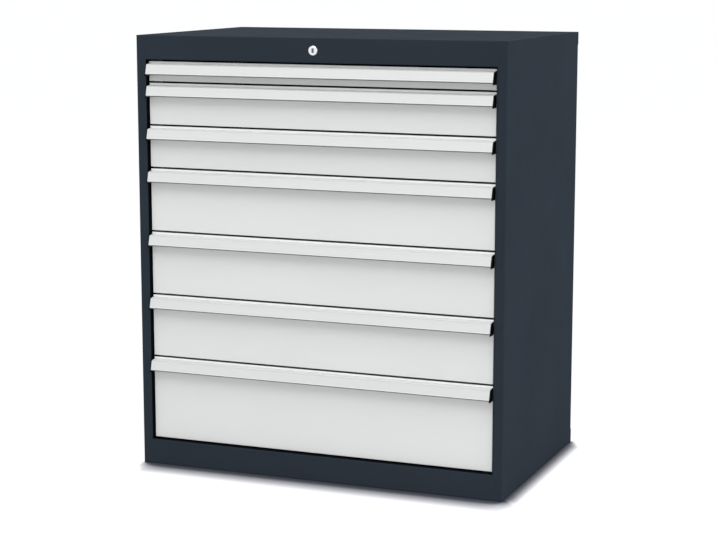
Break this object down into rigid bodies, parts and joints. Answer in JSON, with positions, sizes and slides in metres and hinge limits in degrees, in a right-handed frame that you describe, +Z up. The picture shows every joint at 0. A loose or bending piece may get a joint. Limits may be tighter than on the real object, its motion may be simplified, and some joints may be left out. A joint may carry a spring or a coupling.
{
  "type": "workshop drawer cabinet",
  "caption": "Free-standing sheet-steel workshop cabinet with full-extension drawers of several heights, full-width grips and a central cylinder lock.",
  "frame": {"origin": "centre of the bounding box in plan, on the floor", "axes": "+X to the right seen from the front, +Y from the front to the back, +Z up"},
  "size_m": [0.9, 0.585, 1.02],
  "materials": {
    "housing_paint": "anthracite powder coat, satin",
    "front_paint": "light grey powder coat, satin",
    "box_paint": "anthracite powder coat, satin",
    "grip_aluminium": "clear anodised, satin",
    "cap_plastic": "black, finely textured",
    "zinc_steel": "bright zinc plated",
    "lock_chrome": "polished"
  },
  "bodies": {
    "housing": {"right_side_panel": "housing_paint", "left_side_panel": "housing_paint", "top_panel": "housing_paint", "base_pan": "housing_paint", "back_panel": "housing_paint", "right_uprights": "zinc_steel", "left_uprights": "zinc_steel", "right_cabinet_rails": "zinc_steel", "left_cabinet_rails": "zinc_steel", "lock_barrel": "lock_chrome", "lock_nut": "zinc_steel", "push_bar_guides": "zinc_steel", "locking_bar_guides": "zinc_steel"},
    "drawer_1": {"drawer_1_front": "front_paint", "drawer_1_box": "box_paint", "drawer_1_grip": "grip_aluminium", "drawer_1_end_caps": "cap_plastic", "drawer_1_slide_rails": "zinc_steel"},
    "drawer_1_mid": {"drawer_1_mid_rails": "zinc_steel"},
    "drawer_2": {"drawer_2_front": "front_paint", "drawer_2_box": "box_paint", "drawer_2_grip": "grip_aluminium", "drawer_2_end_caps": "cap_plastic", "drawer_2_slide_rails": "zinc_steel"},
    "drawer_2_mid": {"drawer_2_mid_rails": "zinc_steel"},
    "drawer_3": {"drawer_3_front": "front_paint", "drawer_3_box": "box_paint", "drawer_3_grip": "grip_aluminium", "drawer_3_end_caps": "cap_plastic", "drawer_3_slide_rails": "zinc_steel"},
    "drawer_3_mid": {"drawer_3_mid_rails": "zinc_steel"},
    "drawer_4": {"drawer_4_front": "front_paint", "drawer_4_box": "box_paint", "drawer_4_grip": "grip_aluminium", "drawer_4_end_caps": "cap_plastic", "drawer_4_slide_rails": "zinc_steel"},
    "drawer_4_mid": {"drawer_4_mid_rails": "zinc_steel"},
    "drawer_5": {"drawer_5_front": "front_paint", "drawer_5_box": "box_paint", "drawer_5_grip": "grip_aluminium", "drawer_5_end_caps": "cap_plastic", "drawer_5_slide_rails": "zinc_steel"},
    "drawer_5_mid": {"drawer_5_mid_rails": "zinc_steel"},
    "drawer_6": {"drawer_6_front": "front_paint", "drawer_6_box": "box_paint", "drawer_6_grip": "grip_aluminium", "drawer_6_end_caps": "cap_plastic", "drawer_6_slide_rails": "zinc_steel"},
    "drawer_6_mid": {"drawer_6_mid_rails": "zinc_steel"},
    "drawer_7": {"drawer_7_front": "front_paint", "drawer_7_box": "box_paint", "drawer_7_grip": "grip_aluminium", "drawer_7_end_caps": "cap_plastic", "drawer_7_slide_rails": "zinc_steel"},
    "drawer_7_mid": {"drawer_7_mid_rails": "zinc_steel"},
    "lock_rotor": {"lock_core": "lock_chrome", "lock_cam": "zinc_steel"},
    "push_bar": {"lock_push_bar": "zinc_steel"},
    "locking_bar": {"locking_bar": "zinc_steel"}
  },
  "joints": [
    {"name": "drawer_1_slide", "type": "slide", "parent": "housing", "child": "drawer_1", "axis": [0, -1, 0], "range_m": [0, 0.48]},
    {"name": "drawer_1_mid_slide", "type": "slide", "parent": "housing", "child": "drawer_1_mid", "axis": [0, -1, 0], "range_m": [0, 0.24]},
    {"name": "drawer_2_slide", "type": "slide", "parent": "housing", "child": "drawer_2", "axis": [0, -1, 0], "range_m": [0, 0.48]},
    {"name": "drawer_2_mid_slide", "type": "slide", "parent": "housing", "child": "drawer_2_mid", "axis": [0, -1, 0], "range_m": [0, 0.24]},
    {"name": "drawer_3_slide", "type": "slide", "parent": "housing", "child": "drawer_3", "axis": [0, -1, 0], "range_m": [0, 0.48]},
    {"name": "drawer_3_mid_slide", "type": "slide", "parent": "housing", "child": "drawer_3_mid", "axis": [0, -1, 0], "range_m": [0, 0.24]},
    {"name": "drawer_4_slide", "type": "slide", "parent": "housing", "child": "drawer_4", "axis": [0, -1, 0], "range_m": [0, 0.48]},
    {"name": "drawer_4_mid_slide", "type": "slide", "parent": "housing", "child": "drawer_4_mid", "axis": [0, -1, 0], "range_m": [0, 0.24]},
    {"name": "drawer_5_slide", "type": "slide", "parent": "housing", "child": "drawer_5", "axis": [0, -1, 0], "range_m": [0, 0.48]},
    {"name": "drawer_5_mid_slide", "type": "slide", "parent": "housing", "child": "drawer_5_mid", "axis": [0, -1, 0], "range_m": [0, 0.24]},
    {"name": "drawer_6_slide", "type": "slide", "parent": "housing", "child": "drawer_6", "axis": [0, -1, 0], "range_m": [0, 0.48]},
    {"name": "drawer_6_mid_slide", "type": "slide", "parent": "housing", "child": "drawer_6_mid", "axis": [0, -1, 0], "range_m": [0, 0.24]},
    {"name": "drawer_7_slide", "type": "slide", "parent": "housing", "child": "drawer_7", "axis": [0, -1, 0], "range_m": [0, 0.48]},
    {"name": "drawer_7_mid_slide", "type": "slide", "parent": "housing", "child": "drawer_7_mid", "axis": [0, -1, 0], "range_m": [0, 0.24]},
    {"name": "locking_bar_lift", "type": "slide", "parent": "housing", "child": "locking_bar", "axis": [0, 0, 1], "range_m": [0, 0.012]},
    {"name": "push_bar_slide", "type": "slide", "parent": "housing", "child": "push_bar", "axis": [1, 0, 0], "range_m": [0, 0.012]},
    {"name": "lock_turn", "type": "hinge", "parent": "housing", "child": "lock_rotor", "pos_m": [-0.004, -0.2775, 0.992], "axis": [0, 1, 0], "range_deg": [0, 90]}
  ],
  "couplings": [
    {"joint": "drawer_1_mid_slide", "follows": "drawer_1_slide", "ratio": 0.5},
    {"joint": "drawer_2_mid_slide", "follows": "drawer_2_slide", "ratio": 0.5},
    {"joint": "drawer_3_mid_slide", "follows": "drawer_3_slide", "ratio": 0.5},
    {"joint": "drawer_4_mid_slide", "follows": "drawer_4_slide", "ratio": 0.5},
    {"joint": "drawer_5_mid_slide", "follows": "drawer_5_slide", "ratio": 0.5},
    {"joint": "drawer_6_mid_slide", "follows": "drawer_6_slide", "ratio": 0.5},
    {"joint": "drawer_7_mid_slide", "follows": "drawer_7_slide", "ratio": 0.5},
    {"joint": "push_bar_slide", "follows": "locking_bar_lift", "ratio": 1},
    {"joint": "lock_turn", "follows": "locking_bar_lift", "rad_per_m": 130.67}
  ]
}
